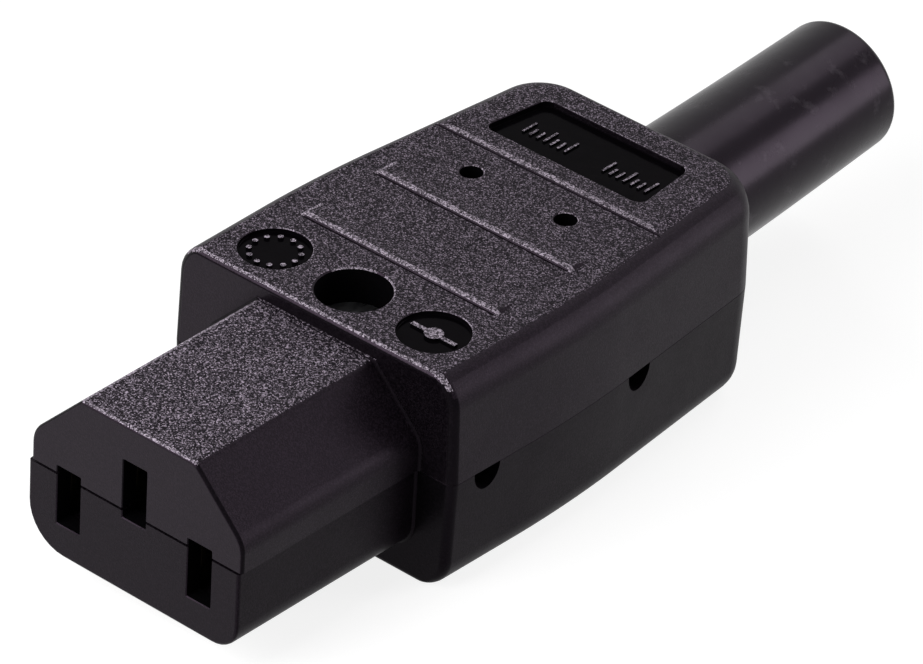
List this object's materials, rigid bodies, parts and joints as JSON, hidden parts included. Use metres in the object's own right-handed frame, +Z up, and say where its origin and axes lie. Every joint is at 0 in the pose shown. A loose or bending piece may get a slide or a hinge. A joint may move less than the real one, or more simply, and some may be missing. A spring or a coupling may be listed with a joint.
{
  "type": "rewireable c13 power connector",
  "caption": "Rewireable cable-mount power connector with a keyed nose and contact slots, screwed half shells, internal pillar terminals, cord clamp and a straight rubber boot.",
  "frame": {"origin": "on the flat underside, below the middle of the box", "axes": "+Y from the mating face towards the cable, +X to the right seen from the mating face, +Z up, away from the underside"},
  "size_m": [0.0306, 0.0892, 0.0205],
  "materials": {
    "housing": "fine spark-textured tops, smooth sides",
    "boot": "smooth, semi-gloss",
    "brass": "stamped and milled, bare",
    "steel": "zinc plated",
    "clamp": "smooth"
  },
  "bodies": {
    "root": {"upper_shell": "housing", "lower_shell": "housing", "case_screw": "steel", "case_nut": "steel", "line_contact": "brass", "neutral_contact": "brass", "earth_contact": "brass", "line_terminal": "brass", "neutral_terminal": "brass", "earth_terminal": "brass", "line_terminal_screw": "steel", "neutral_terminal_screw": "steel", "earth_terminal_screw": "steel", "clamp_bar": "clamp", "left_clamp_screw": "steel", "right_clamp_screw": "steel", "cable_boot": "boot"}
  },
  "joints": []
}
